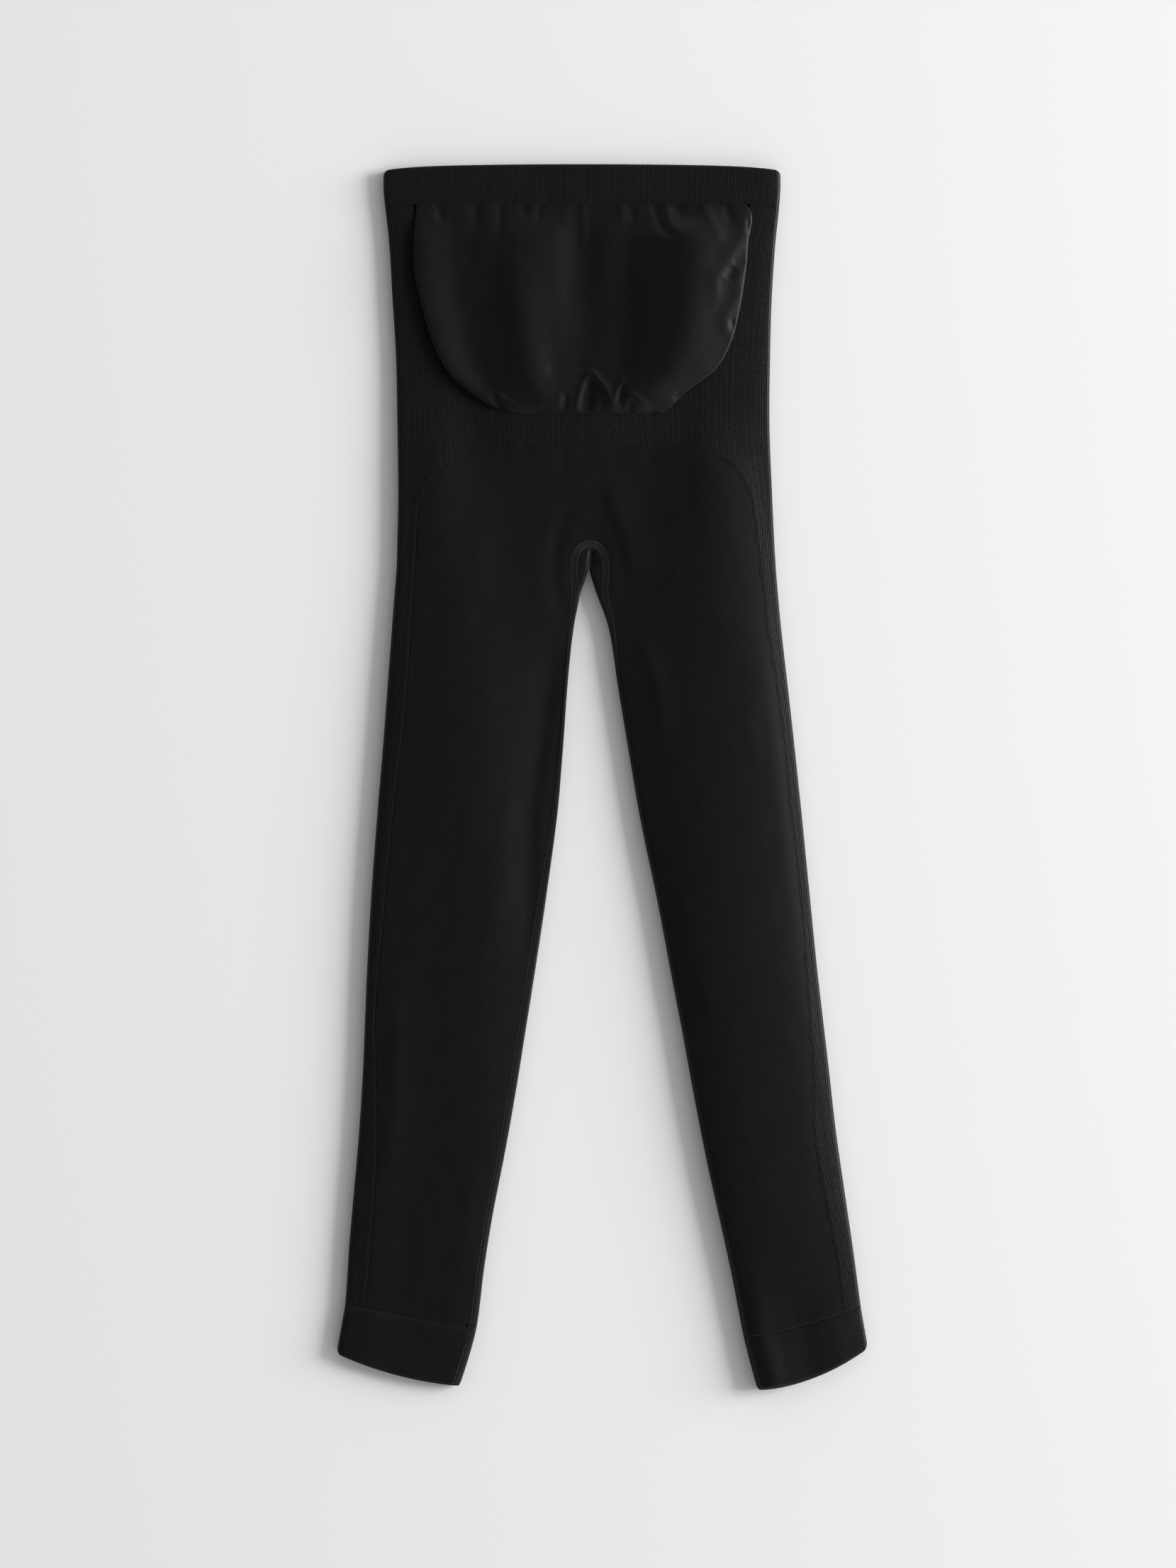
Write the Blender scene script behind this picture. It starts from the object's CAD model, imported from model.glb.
import math
import bpy
import bmesh
import numpy as np
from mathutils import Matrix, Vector


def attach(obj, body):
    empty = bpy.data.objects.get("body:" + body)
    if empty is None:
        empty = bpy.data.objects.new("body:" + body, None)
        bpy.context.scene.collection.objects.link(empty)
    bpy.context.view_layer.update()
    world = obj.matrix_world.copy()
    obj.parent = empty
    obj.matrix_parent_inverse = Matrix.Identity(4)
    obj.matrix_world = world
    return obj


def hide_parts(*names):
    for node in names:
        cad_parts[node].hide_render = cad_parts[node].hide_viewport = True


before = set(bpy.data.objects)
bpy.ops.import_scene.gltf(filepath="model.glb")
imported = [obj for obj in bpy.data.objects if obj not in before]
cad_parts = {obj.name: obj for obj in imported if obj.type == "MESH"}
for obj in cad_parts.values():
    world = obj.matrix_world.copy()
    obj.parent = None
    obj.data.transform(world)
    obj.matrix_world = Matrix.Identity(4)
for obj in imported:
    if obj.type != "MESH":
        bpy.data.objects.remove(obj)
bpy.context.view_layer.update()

mm = 0.001

# sizes of the whole garment in mm; down is measured from the waist edge
garment = {"length": 950.0, "foldRadius": 2.5, "settle": 1.0, "bandHeight": 31.0,
           "yokeDown": 218.0, "sideRibDown": 226.0, "legDown": 332.0, "crotchX": -9.0}
foldArc = garment["foldRadius"] * math.pi / 2    # cloth length in half of a fold's rounding
# pieces of one cut lie side by side on its plan, this far apart in mm
cutShift = {"ribBack": 500, "sideBack": 300, "rightLeg": 400, "hipsBack": 700, "gusset": 900}

hips = {
    "down": [0, 18, 36, 64, 105, 147, 202, 257, 284, 312, 332],
    "left": [-169.6, -169.3, -167.4, -164.8, -162.5, -159.9, -158.7, -158.1, -158.6, -159.3, -160.9],
    "right": [138.2, 137.9, 136.4, 133.9, 131.3, 130.1, 129.6, 131.7, 132.9, 134.5, 136.1],
}
yoke = {
    "down": [218, 222, 226, 232, 248, 264, 304, 332],
    "left": [-89, -98, -107, -119, -133, -141, -143.8, -145.9],
    "right": [63.5, 76, 86, 98, 109.5, 115, 120, 123.4],
}
pouchLine = {
    "down": [31.3, 36, 43, 60, 82, 114, 141, 161, 177, 188, 194.5],
    "left": [-144, -144.4, -145, -145.6, -145.4, -138.4, -130, -119.5, -102.5, -83.5, -60],
    "right": [111.5, 115, 116, 113.4, 111.6, 106.6, 98.6, 86, 64, 52.5, 41],
}
# a leg's sections: down at the outer fold, slant is how much lower the inner fold lies, rib is the width of
# the side rib, bow curves the section down, seam is where the flatlock lies and flange the flat cloth at it
legLeft = {
    "down": [332, 360, 400, 450, 500, 560, 620, 660, 700, 750, 800, 840, 881, 900, 921.5],
    "outer": [-160.9, -163, -166, -169.8, -174, -178.5, -182, -183.7, -185.3, -188.4, -192.8, -196.2,
              -199, -202.2, -206],
    "inner": [-16.8, -22.6, -27, -30.7, -35.2, -43.3, -52.6, -59.2, -65.8, -74.9, -85, -91.6,
              -97, -102.6, -110.4],
    "slant": [0, 1, 2, 4, 6, 7.5, 9, 10.5, 12, 13.5, 15, 16.5, 18.5, 22, 25],
    "rib": [15, 15.5, 16, 15, 13, 12, 10, 8.5, 11, 14.5, 17, 17, 16, 16, 16],
    "bow": [0, 0, 0, 0, 0, 0, 0, 0, 0, 0.2, 0.4, 0.8, 1.5, 3, 4.5],
    "seam": [5.8, 2.2, 0, 1, 2.8, 5, 5.4, 5.2, 5, 4.8, 4.6, 4.6, 4.8, 5, 5.2],
    "flange": 4.4,
}
legRight = {
    "down": [332, 360, 400, 450, 500, 560, 620, 660, 700, 750, 800, 840, 885, 900, 917.5],
    "outer": [136.1, 138.7, 143.3, 148.9, 154.2, 160.2, 166.2, 170.8, 175.5, 181.2, 188.4, 194.3,
              200.4, 203, 206],
    "inner": [-4.7, 5.6, 12, 20.6, 29.6, 42.6, 54.3, 62.4, 70, 80, 91.4, 100.6, 110, 114.6, 120.6],
    "slant": [0, 1, 2, 4, 6.5, 9, 11, 13, 14.5, 16.5, 18.5, 20.5, 24, 27.5, 32],
    "rib": [12.7, 12, 10, 9, 9.3, 8.3, 9.5, 11.5, 13.5, 18, 16.5, 14.5, 14.5, 14.5, 14.5],
    "bow": [0, 0, 0, 0, 0, 0, 0, 0, 0, 0.2, 0.4, 1, 2.5, 4.8, 7],
    "seam": [6.9, 3, 0.4, -0.8, -1.4, -1.2, -1, -0.6, 0, 0.8, 1.4, 1.8, 2.2, 2.4, 2.6],
    "flange": 5.5,
}
# the crotch fold and the arched seam round the gusset, from one leg over the crotch to the other
arch = {
    "foldX": [-16.8, -13.4, -11.1, -9.9, -9, -8.7, -8.5, -8.3, -8.2, -8.9, -10, -7.6, -4.7],
    "foldDown": [332, 323, 314.6, 307, 302, 300.2, 300, 300.2, 302, 307, 314.6, 323, 332],
    "seamX": [-20.4, -22, -22.6, -22.2, -20.4, -16.4, -9.4, -3.2, 0.4, 2.4, 2.8, 2.4, 1],
    "seamDown": [332, 323, 314, 306, 300.5, 296, 293.8, 296, 300.5, 306, 314, 323, 332],
}


def curveBetween(a, b, slopeA, slopeB, span, t):    # smooth from a to b, with these slopes at its ends
    return (a * (2 * t**3 - 3 * t**2 + 1) + b * (3 * t**2 - 2 * t**3)
            + slopeA * span * (t**3 - 2 * t**2 + t) + slopeB * span * (t**3 - t**2))


def track(table, column):    # smooth value of a column at any distance down
    at = np.array(table["down"], float)
    value = np.array(table[column], float)
    slope = np.empty_like(value)
    slope[1:-1] = (value[2:] - value[:-2]) / (at[2:] - at[:-2])
    slope[0] = (value[1] - value[0]) / (at[1] - at[0])
    slope[-1] = (value[-1] - value[-2]) / (at[-1] - at[-2])

    def read(down):
        spot = np.clip(np.searchsorted(at, down, side="left") - 1, 0, len(at) - 2)
        span = at[spot + 1] - at[spot]
        t = np.clip((down - at[spot]) / span, 0, 1)
        return curveBetween(value[spot], value[spot + 1], slope[spot], slope[spot + 1], span, t)

    return read


hipLeft, hipRight = track(hips, "left"), track(hips, "right")
yokeLeft, yokeRight = track(yoke, "left"), track(yoke, "right")
pouchLeft, pouchRight = track(pouchLine, "left"), track(pouchLine, "right")


def smooth(t):
    t = np.clip(t, 0, 1)
    return t * t * (3 - 2 * t)


# how high the front cloth lies, in mm: rows go down, columns from one edge to the other (share 0 to 1)
layLeft = {
    "share": [0, 0.06, 0.2, 0.4, 0.55, 0.7, 0.85, 0.95, 1],
    "rows": {
        0: [0.5, 0.6, 0.8, 0.8, 0.8, 0.8, 0.8, 0.8, 0.8],
        120: [0.8, 1.0, 1.2, 1.2, 1.3, 1.4, 1.4, 1.4, 1.4],
        200: [1.1, 1.4, 1.8, 0.9, 2.1, 2.8, 2.9, 2.9, 2.9],
        240: [1.6, 2.0, 3.1, 1.2, 1.0, 1.4, 1.6, 1.7, 1.7],
        298: [1.5, 1.9, 3.2, 2.3, 0.9, 0.8, 0.7, 0.4, 0.2],
        312: [1.5, 2.0, 3.2, 2.8, 1.4, 1.0, 0.7, 0.0, -0.6],
        332: [1.5, 2.1, 3.2, 3.5, 2.1, 1.4, 0.8, -0.1, -0.7],
        408: [1.8, 2.6, 3.6, 4.7, 4.3, 2.3, 0.3, -0.9, -1.2],
        490: [1.8, 2.5, 3.3, 4.2, 4.4, 2.9, 0.6, -0.7, -1.1],
        573: [1.8, 2.4, 3.0, 3.4, 3.9, 3.8, 1.7, -0.3, -1.0],
        660: [1.6, 2.2, 2.8, 3.0, 3.3, 3.3, 1.9, 0.3, -0.7],
        738: [1.4, 1.9, 2.7, 2.3, 2.4, 2.6, 2.1, 0.9, -0.3],
        830: [1.1, 1.5, 2.1, 1.7, 2.0, 2.0, 1.6, 0.9, -0.1],
        922: [0.8, 1.1, 1.6, 1.0, 1.0, 1.1, 1.0, 0.6, 0],
    },
}
layRight = {
    "share": [0, 0.05, 0.12, 0.22, 0.35, 0.5, 0.7, 0.88, 0.96, 1],
    "rows": {
        0: [0, 0.6, 0.8, 0.8, 0.8, 0.8, 0.8, 0.8, 0.8, 0.8],
        120: [-0.4, 0.5, 1.1, 1.4, 1.4, 1.4, 1.4, 1.4, 1.4, 1.4],
        200: [-0.6, 0.4, 1.3, 2.1, 2.5, 2.0, 2.3, 2.8, 2.9, 2.9],
        240: [-0.8, 0.4, 2.2, 4.2, 5.2, 3.2, 1.6, 1.6, 1.7, 1.7],
        298: [-0.8, 0.9, 3.2, 5.4, 6.3, 4.8, 2.3, 0.8, 0.4, 0.2],
        312: [-0.9, 0.9, 3.2, 5.4, 6.4, 5.1, 2.7, 1.2, 1.2, 1.2],
        332: [-0.9, 1.0, 3.3, 5.5, 6.6, 5.6, 3.4, 1.8, 1.5, 1.4],
        408: [-1.0, 1.0, 3.7, 5.6, 6.7, 6.7, 5.3, 3.4, 2.3, 1.8],
        490: [-1.0, 0.9, 3.6, 5.5, 6.9, 7.3, 6.2, 3.8, 2.6, 2.0],
        573: [-1.0, 0.8, 3.2, 5.2, 6.8, 7.7, 7.2, 4.6, 3.0, 2.4],
        660: [-0.8, 0.8, 2.9, 4.8, 6.2, 7.0, 6.8, 4.9, 3.4, 2.6],
        738: [-0.6, 0.8, 2.3, 4.1, 5.4, 6.2, 6.6, 5.2, 3.8, 3.0],
        830: [-0.4, 0.7, 1.9, 3.1, 4.2, 5.0, 5.4, 4.6, 3.4, 2.4],
        920: [-0.8, 0.0, 0.9, 2.0, 2.3, 2.0, 3.4, 4.7, 2.9, 1.4],
    },
}


def layOf(table):    # reads such a table smoothly at any share and distance down
    share = np.array(table["share"], float)
    columns = [track({"down": list(table["rows"]), "lift": list(column)}, "lift")
               for column in zip(*table["rows"].values())]

    def read(at, down):
        at, down = np.broadcast_arrays(np.clip(at, 0, 1), down)
        heights = np.stack([column(down) for column in columns])
        slope = np.gradient(heights, share, axis=0)
        spot = np.clip(np.searchsorted(share, at, side="left") - 1, 0, len(share) - 2)
        span = share[spot + 1] - share[spot]
        t = (at - share[spot]) / span
        ends = [np.take_along_axis(values, (spot + step)[None], 0)[0]
                for values in (heights, slope) for step in (0, 1)]
        return curveBetween(*ends, span, t)

    return read


liftLeft, liftRight = layOf(layLeft), layOf(layRight)


def spread(start, end, count):    # count + 1 values, along the last axis when the ends are arrays
    return np.linspace(start, end, count + 1, axis=-1)


def skinHeight(edge, lift):    # the outer skin at a distance in from the nearest fold; no lift on the back
    r = garment["foldRadius"]
    reach = np.sqrt(np.clip(r**2 - np.clip(r - edge, 0, r) ** 2, 0, None))
    if lift is None:
        return r - reach
    return r + reach + lift * (1 - np.exp(-np.clip(edge, 0, None) / garment["settle"]))


def hipLift(x, down):    # height and creases of the front above the crotch, at any place
    leftEnd, rightEnd = slitEdges(down)
    left = liftLeft((x - hipLeft(down)) / (leftEnd - hipLeft(down)), down)
    right = liftRight((hipRight(down) - x) / (hipRight(down) - rightEnd), down)
    return np.where(x < (leftEnd + rightEnd) / 2, left, right) + creased(x, down, creases)


def slitEdges(down):    # where the cloth ends between the legs, above and below the crotch
    x, low = np.array(arch["foldX"]), np.array(arch["foldDown"])
    return np.interp(down, low[:7][::-1], x[:7][::-1]), np.interp(down, low[6:], x[6:])


def arcOf(edge):    # length along the cloth from the fold to a point that far in
    r = garment["foldRadius"]
    return np.where(edge < r, r * np.arccos(np.clip(1 - edge / r, -1, 1)), foldArc + edge - r)


def edgeOf(arc):    # the other way round
    r = garment["foldRadius"]
    return np.where(arc < foldArc, r * (1 - np.cos(np.clip(arc / r, 0, math.pi / 2))), arc - foldArc + r)


def pathDistance(x, down, path):    # distance to a smooth line through the path, share along it, side
    points = np.array(path, float)
    if len(points) > 2:    # a Catmull-Rom line through the points
        padded = np.vstack([2 * points[0] - points[1], points, 2 * points[-1] - points[-2]])
        line = []
        for i in range(len(points) - 1):
            a, b, c, d = padded[i:i + 4]
            for t in np.linspace(0, 1, 6)[:-1]:
                line.append(0.5 * (2 * b + (c - a) * t + (2 * a - 5 * b + 4 * c - d) * t**2
                                   + (3 * b - a - 3 * c + d) * t**3))
        points = np.vstack([line, points[-1]])
    lengths = np.hypot(*(points[1:] - points[:-1]).T)
    starts = np.concatenate([[0], np.cumsum(lengths)])
    best = np.full(np.shape(x), 1e9)
    share = np.zeros(np.shape(x))
    side = np.zeros(np.shape(x))
    for i, (a, b) in enumerate(zip(points, points[1:])):
        run = b - a
        raw = ((x - a[0]) * run[0] + (down - a[1]) * run[1]) / lengths[i] ** 2
        low = -0.5 if i == 0 else 0
        high = 1.5 if i == len(lengths) - 1 else 1
        t = np.clip(raw, low, high)
        offX, offDown = x - a[0] - run[0] * t, down - a[1] - run[1] * t
        off = np.hypot(offX, offDown)
        nearer = off < best
        best = np.where(nearer, off, best)
        share = np.where(nearer, (starts[i] + lengths[i] * t) / starts[-1], share)
        side = np.where(nearer, np.sign(offX * run[1] - offDown * run[0]), side)
    return best, share, side


def fold(path, wide, lift, right=None, fade=(0.25, 0.25)):    # right is its width on that side, if not wide
    return {"path": path, "wide": wide, "lift": lift, "right": right or wide, "fade": fade}


def creased(x, down, folds):    # adds up ridges (+) and troughs (-) that fade at both ends
    total = np.zeros(np.shape(x))
    for each in folds:
        off, share, side = pathDistance(x, down, each["path"])
        wide = np.where(side > 0, each["right"], each["wide"])
        start, end = each["fade"]
        ends = smooth((share + start * 0.5) / start) * smooth((1 + end * 0.5 - share) / end)
        total += each["lift"] * np.exp(-((off / wide) ** 2)) * ends
    return total


def grid(x, down, z, **extras):    # rows run down the garment, columns to the right on the front
    x, down, z = np.broadcast_arrays(x, down, z)
    return {"x": x, "down": down, "z": z, **{k: np.broadcast_to(v, x.shape) for k, v in extras.items()}}


def addObject(name, data):
    made = bpy.data.objects.new(name, data)
    bpy.context.scene.collection.objects.link(made)
    return made


def makeCloth(name, grids, fabric, wall):
    verts, faces, cuts, wales, holds = [], [], [], [], []
    for part in grids:
        rows, cols = part["x"].shape
        start = sum(len(v) for v in verts)
        index = start + np.arange(rows * cols).reshape(rows, cols)
        square = [index[:-1, :-1], index[1:, :-1], index[1:, 1:], index[:-1, 1:]]
        faces.append(np.stack(square, -1).reshape(-1, 4))
        spot = np.stack([part["x"], garment["length"] / 2 - part["down"], part["z"]], -1) * mm
        verts.append(spot.reshape(-1, 3))
        cuts.append(np.stack([part["u"], part["v"]], -1).reshape(-1, 2) * mm)
        wales.append(np.broadcast_to(part.get("wale", 0.0), (rows, cols)).reshape(-1))
        holds.append(np.broadcast_to(part.get("hold", 1.0), (rows, cols)).reshape(-1))
    verts, faces, cuts = np.vstack(verts), np.vstack(faces), np.vstack(cuts)
    mesh = bpy.data.meshes.new(name)
    mesh.from_pydata(verts.tolist(), [], faces.tolist())
    cut = mesh.uv_layers.new(name="cut")
    cut.data.foreach_set("uv", cuts[faces.reshape(-1)].astype(np.float32).reshape(-1))
    for label, values in (("wale", wales), ("hold", holds)):
        mesh.attributes.new(label, "FLOAT", "POINT").data.foreach_set("value", np.concatenate(values))
    shape = bmesh.new()
    shape.from_mesh(mesh)
    bmesh.ops.remove_doubles(shape, verts=shape.verts, dist=0.00002)
    bmesh.ops.dissolve_degenerate(shape, edges=shape.edges, dist=0.00001)
    for face in shape.faces:
        face.smooth = True
    for edge in shape.edges:
        edge.smooth = not edge.is_boundary    # keeps the cut edges from shading into the face
    shape.to_mesh(mesh)
    shape.free()
    mesh.materials.append(fabric)
    cloth = addObject(name, mesh)
    if wall:
        addWall(cloth, wall)
    return cloth


def addWall(cloth, wall):
    thick = cloth.modifiers.new("wall", "SOLIDIFY")
    thick.thickness = wall * mm
    thick.offset = -1
    return thick


def addInputs(tree, *sockets):    # each is a name, a kind and a first value
    for label, kind, start in sockets:
        socket = tree.interface.new_socket(label, in_out="INPUT", socket_type="NodeSocket" + kind)
        if start is not None:
            socket.default_value = start


def mathIn(tree):    # gives a short way to add a math node to this tree
    def calc(operation, *values):
        node = tree.nodes.new("ShaderNodeMath")
        node.operation = operation
        for spot, value in enumerate(values):
            if isinstance(value, (int, float)):
                node.inputs[spot].default_value = value
            else:
                tree.links.new(value, node.inputs[spot])
        return node.outputs[0]

    return calc


def roundRib(calc, wale):    # 1 on top of a rib, 0 in the furrow beside it
    return calc("ABSOLUTE", calc("SINE", calc("MULTIPLY", wale, math.pi)))


# one shader group makes the fine stitches of every fabric; its noises are a scale, a detail and a stretch
yarn = {"speckle": (1450.0, 1.0, 0.7), "clouds": (70.0, 2.0, 0.6), "roughness": 0.6, "loopMiddle": 0.45}


def makeKnitGrain():
    tree = bpy.data.node_groups.new("knitGrain", "ShaderNodeTree")
    addInputs(tree, ("Cut", "Vector", None), ("Stitches Across", "Float", 900.0),
              ("Stitches Down", "Float", 1100.0), ("Melange", "Float", 0.5), ("Cloudiness", "Float", 0.2),
              ("Loops", "Float", 0.1))
    for label in ("Shade", "Height"):
        tree.interface.new_socket(label, in_out="OUTPUT", socket_type="NodeSocketFloat")
    inputs, outputs = tree.nodes.new("NodeGroupInput"), tree.nodes.new("NodeGroupOutput")
    link, calc = tree.links.new, mathIn(tree)
    split = tree.nodes.new("ShaderNodeSeparateXYZ")
    link(inputs.outputs["Cut"], split.inputs[0])
    across = calc("MULTIPLY", split.outputs["X"], inputs.outputs["Stitches Across"])
    down = calc("MULTIPLY", split.outputs["Y"], inputs.outputs["Stitches Down"])
    # each stitch is a V: its two legs lean in towards the middle of the wale
    lean = calc("ABSOLUTE", calc("SUBTRACT", calc("FRACT", across), 0.5))
    wale = roundRib(calc, across)
    legs = roundRib(calc, calc("ADD", down, lean))
    loops = calc("MULTIPLY", wale, calc("ADD", calc("MULTIPLY", legs, 0.5), 0.5))

    def noise(scale, detail, stretch):
        mapping = tree.nodes.new("ShaderNodeMapping")
        mapping.inputs["Scale"].default_value = (scale, scale * stretch, 1)
        link(inputs.outputs["Cut"], mapping.inputs["Vector"])
        made = tree.nodes.new("ShaderNodeTexNoise")
        made.noise_dimensions = "2D"
        made.inputs["Scale"].default_value = 1.0
        made.inputs["Detail"].default_value = detail
        made.inputs["Roughness"].default_value = yarn["roughness"]
        link(mapping.outputs[0], made.inputs["Vector"])
        return calc("SUBTRACT", made.outputs[0], 0.5)

    speckle = calc("MULTIPLY", noise(*yarn["speckle"]), inputs.outputs["Melange"])
    clouds = calc("MULTIPLY", noise(*yarn["clouds"]), inputs.outputs["Cloudiness"])
    raised = calc("MULTIPLY", calc("SUBTRACT", loops, yarn["loopMiddle"]), inputs.outputs["Loops"])
    shade = calc("ADD", calc("ADD", speckle, clouds), raised)
    link(calc("ADD", shade, 0.5), outputs.inputs["Shade"])
    link(calc("ADD", calc("MULTIPLY", loops, inputs.outputs["Loops"]), speckle), outputs.inputs["Height"])
    return tree


knitGrain = makeKnitGrain()


def makeFabric(name, look):
    fabric = bpy.data.materials.new(name)
    fabric.use_nodes = True
    nodes, link = fabric.node_tree.nodes, fabric.node_tree.links.new
    skin = nodes["Principled BSDF"]
    skin.inputs["Roughness"].default_value = look["roughness"]
    skin.inputs["Specular IOR Level"].default_value = look["gloss"]
    grain = nodes.new("ShaderNodeGroup")
    grain.node_tree = knitGrain
    cut = nodes.new("ShaderNodeUVMap")
    cut.uv_map = "cut"
    link(cut.outputs[0], grain.inputs["Cut"])
    for label, key in (("Stitches Across", "across"), ("Stitches Down", "courses"),
                       ("Melange", "melange"), ("Cloudiness", "cloudiness"), ("Loops", "loops")):
        grain.inputs[label].default_value = look[key]
    ramp = nodes.new("ShaderNodeMix")
    ramp.data_type = "RGBA"
    ramp.inputs["A"].default_value = (*look["dark"], 1)
    ramp.inputs["B"].default_value = (*look["light"], 1)
    link(grain.outputs["Shade"], ramp.inputs["Factor"])
    colour, height = ramp.outputs["Result"], grain.outputs["Height"]
    if look.get("groove"):    # the furrows between ribs hold less light
        calc = mathIn(fabric.node_tree)
        wale = nodes.new("ShaderNodeAttribute")
        wale.attribute_name = "wale"
        top = roundRib(calc, wale.outputs["Fac"])
        furrow = nodes.new("ShaderNodeMapRange")
        furrow.inputs["To Min"].default_value = 1 - look["groove"]
        deepen = nodes.new("ShaderNodeMix")
        deepen.data_type = "RGBA"
        deepen.inputs["A"].default_value = (0, 0, 0, 1)
        link(top, furrow.inputs["Value"])
        link(furrow.outputs["Result"], deepen.inputs["Factor"])
        link(colour, deepen.inputs["B"])
        colour, height = deepen.outputs["Result"], calc("MULTIPLY_ADD", top, look["ridge"], height)
    link(colour, skin.inputs["Base Color"])
    bump = nodes.new("ShaderNodeBump")
    bump.inputs["Strength"].default_value = look["bump"]
    bump.inputs["Distance"].default_value = look["bumpDepth"]
    link(height, bump.inputs["Height"])
    link(bump.outputs[0], skin.inputs["Normal"])
    return fabric


# across and courses are stitches per metre; groove darkens the furrows of ribs, ridge raises their tops
baseLook = {"dark": (0.0016, 0.0016, 0.0018), "light": (0.0095, 0.0095, 0.0103), "roughness": 0.5,
            "gloss": 0.125, "across": 1500.0, "courses": 1400.0, "melange": 1.9, "cloudiness": 0.3,
            "loops": 0.08, "bump": 0.2, "bumpDepth": 0.0003}
jersey = makeFabric("jerseyKnit", baseLook)
ribKnit = makeFabric("ribKnit", {
    **baseLook, "light": (0.0099, 0.0099, 0.0107), "across": 1420.0, "courses": 1500.0, "melange": 1.8,
    "loops": 0.15, "groove": 0.6, "ridge": 0.5, "bump": 0.25})
cuffKnit = makeFabric("cuffKnit", {
    **baseLook, "light": (0.0106, 0.0106, 0.0114), "across": 1350.0, "courses": 1700.0, "melange": 1.8,
    "loops": 0.3, "groove": 0.4, "ridge": 1.6})
seamThread = makeFabric("seamThread", {
    **baseLook, "dark": (0.006, 0.006, 0.0063), "light": (0.0122, 0.0122, 0.0129), "across": 3000.0,
    "courses": 3000.0, "melange": 0.8})
print("fabrics ready")


def startTree(name, *sockets):
    tree = bpy.data.node_groups.new(name, "GeometryNodeTree")
    addInputs(tree, ("Geometry", "Geometry", None), *sockets)
    tree.interface.new_socket("Geometry", in_out="OUTPUT", socket_type="NodeSocketGeometry")
    return tree, tree.nodes.new("NodeGroupInput")


def endTree(tree, geometry, fabric):    # real meshes, dressed in the fabric
    realize = tree.nodes.new("GeometryNodeRealizeInstances")
    dress = tree.nodes.new("GeometryNodeSetMaterial")
    link = tree.links.new
    link(geometry, realize.inputs[0])
    link(realize.outputs[0], dress.inputs["Geometry"])
    link(fabric, dress.inputs["Material"])
    link(dress.outputs[0], tree.nodes.new("NodeGroupOutput").inputs[0])
    return tree


def attributeIn(tree, label, kind="FLOAT"):
    node = tree.nodes.new("GeometryNodeInputNamedAttribute")
    node.data_type = kind
    node.inputs["Name"].default_value = label
    return node.outputs["Attribute"]


# ribs: geometry nodes raise the cloth into wales
def makeRibTree():
    tree, inputs = startTree("ribWales", ("Depth", "Float", 0.0004), ("Unevenness", "Float", 0.3),
                             ("Seed", "Int", 4), ("Fabric", "Material", None))
    nodes, link, calc = tree.nodes, tree.links.new, mathIn(tree)
    wale = attributeIn(tree, "wale")
    odd = nodes.new("FunctionNodeRandomValue")
    odd.data_type = "FLOAT"
    link(calc("FLOOR", wale), odd.inputs["ID"])
    link(inputs.outputs["Seed"], odd.inputs["Seed"])
    spared = calc("SUBTRACT", 1.0, calc("MULTIPLY", odd.outputs["Value"], inputs.outputs["Unevenness"]))
    outside = calc("SUBTRACT", 1.0, attributeIn(tree, "inside"))
    height = calc("MULTIPLY", calc("MULTIPLY", calc("MULTIPLY", roundRib(calc, wale), spared), outside),
                  calc("MULTIPLY", inputs.outputs["Depth"], attributeIn(tree, "hold")))
    normal = nodes.new("GeometryNodeInputNormal")
    offset = nodes.new("ShaderNodeVectorMath")
    offset.operation = "SCALE"
    link(normal.outputs[0], offset.inputs[0])
    link(height, offset.inputs["Scale"])
    move = nodes.new("GeometryNodeSetPosition")
    link(inputs.outputs["Geometry"], move.inputs["Geometry"])
    link(offset.outputs[0], move.inputs["Offset"])
    return endTree(tree, move.outputs[0], inputs.outputs["Fabric"])


def applyTree(piece, tree, values):    # runs a tree on the piece and keeps its plain mesh
    live = piece.modifiers.new("tree", "NODES")
    live.node_group = tree
    for item in tree.interface.items_tree:
        if item.in_out == "INPUT" and item.name in values:
            live[item.identifier] = values[item.name]
    graph = bpy.context.evaluated_depsgraph_get()
    made = bpy.data.meshes.new_from_object(piece.evaluated_get(graph), preserve_all_data_layers=True,
                                           depsgraph=graph)
    piece.modifiers.clear()
    piece.data = made
    made.name = piece.name
    return piece


ribTree = makeRibTree()
rib = {"count": 217, "perRib": 4, "pitch": 1.42, "depth": 0.17, "wall": 1.1, "unevenness": 0.3}
ribLines = np.arange(rib["count"] * rib["perRib"] + 1) / rib["perRib"]    # across the front, counted in ribs


def ribbed(piece, wall=None):    # only the outer face is raised, so the wall comes first
    piece.vertex_groups.new(name="inside")
    thick = addWall(piece, wall or rib["wall"])
    thick.shell_vertex_group = "inside"
    return applyTree(piece, ribTree, {"Depth": rib["depth"] * mm, "Unevenness": rib["unevenness"], "Seed": 4,
                                      "Fabric": ribKnit})


def frontArc(down):    # cloth length across the front from fold to fold
    r = garment["foldRadius"]
    return hipRight(down) - hipLeft(down) - 2 * r + math.pi * r


def outermost(u):    # 1 at both ends and next to nothing elsewhere; u runs from -1 to 1
    return u**24


def atWale(wale, down):    # x of a rib line on the hips, and how far in it is from the nearest fold
    arc = wale / rib["count"] * frontArc(down)
    fromLeft = arc < frontArc(down) / 2
    edge = np.where(fromLeft, edgeOf(arc), edgeOf(frontArc(down) - arc))
    x = np.where(fromLeft, hipLeft(down) + edge, hipRight(down) - edge)
    return x, edge


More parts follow.
